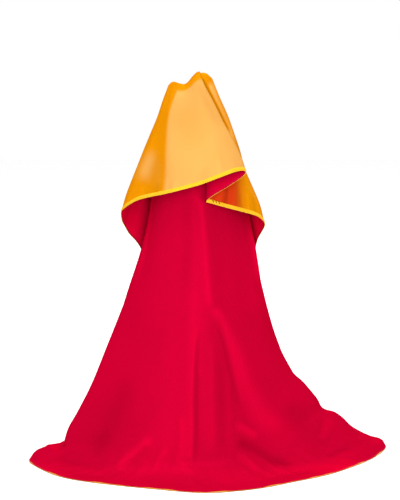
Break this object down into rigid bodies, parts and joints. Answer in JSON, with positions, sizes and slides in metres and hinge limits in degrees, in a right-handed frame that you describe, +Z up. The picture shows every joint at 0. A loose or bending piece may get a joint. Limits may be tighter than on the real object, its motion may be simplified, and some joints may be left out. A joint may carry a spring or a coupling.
{
  "type": "superhero cape",
  "caption": "Two-layer satin costume cape held up by its gripped top, the lined top turned over to the front, the flared body trailing on the floor.",
  "frame": {"origin": "middle of the floor that the trailing hem covers, on the floor", "axes": "+Z up, from the floor to the gripped fold; -Y is the front, where the turned-over top shows the gold lining; +X to the viewer's right"},
  "size_m": [0.7685, 0.5817, 0.8274],
  "materials": {
    "red_satin": "satin, soft sheen",
    "gold_satin": "satin, bright sheen",
    "stay_tape": "woven tape",
    "tab_tape": "hook-and-loop tape",
    "thread": "twisted thread"
  },
  "bodies": {
    "skirt": {"outer_panel_skirt": "red_satin", "lining_panel_skirt": "gold_satin", "lining_lapel_left": "gold_satin", "outer_lapel_left": "red_satin", "lining_lapel_right": "gold_satin", "outer_lapel_right": "red_satin", "neck_tape_left": "stay_tape", "neck_tape_right": "stay_tape", "hook_tab": "tab_tape", "loop_tab": "tab_tape"},
    "turned_top": {"lining_turned_top": "gold_satin", "outer_turned_top": "red_satin", "neck_tape_front": "stay_tape", "turning_gap_stitches": "thread"}
  },
  "joints": [
    {"name": "top_lift", "type": "hinge", "parent": "skirt", "child": "turned_top", "pos_m": [-0.0411, 0.0006, 0.829], "axis": [-1, 0, 0], "range_deg": [0, 30]}
  ]
}
